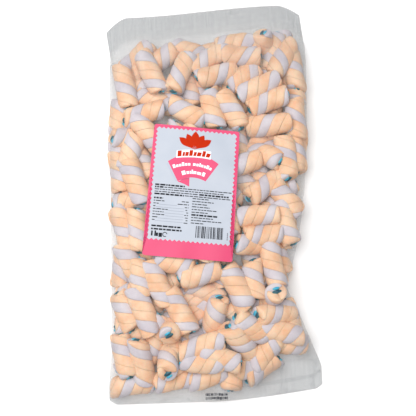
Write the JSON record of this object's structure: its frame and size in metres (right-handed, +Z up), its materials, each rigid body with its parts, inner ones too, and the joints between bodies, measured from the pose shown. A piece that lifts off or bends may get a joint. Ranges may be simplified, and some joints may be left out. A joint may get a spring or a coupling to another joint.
{
  "type": "sealed bag of marshmallows",
  "caption": "Clear sealed pillow bag of twisted two-tone marshmallow ropes with a paper label, lying flat with the label up.",
  "frame": {"origin": "on the table, under the middle of the bag's bounding box", "axes": "+Y towards the bag's top seam, +X to the right as the label is read, +Z up out of the label"},
  "size_m": [0.2427, 0.4754, 0.0484],
  "materials": {
    "film": "clear, slightly milky polypropylene film",
    "label_paper": "satin coated paper, printed",
    "label_print": "ink on coated paper",
    "marshmallow": "soft, dusty, peach and pale lilac strands",
    "filling": "blue jelly at the cut ends"
  },
  "bodies": {
    "root": {"bag": "film", "label": "label_paper"}
  },
  "joints": []
}
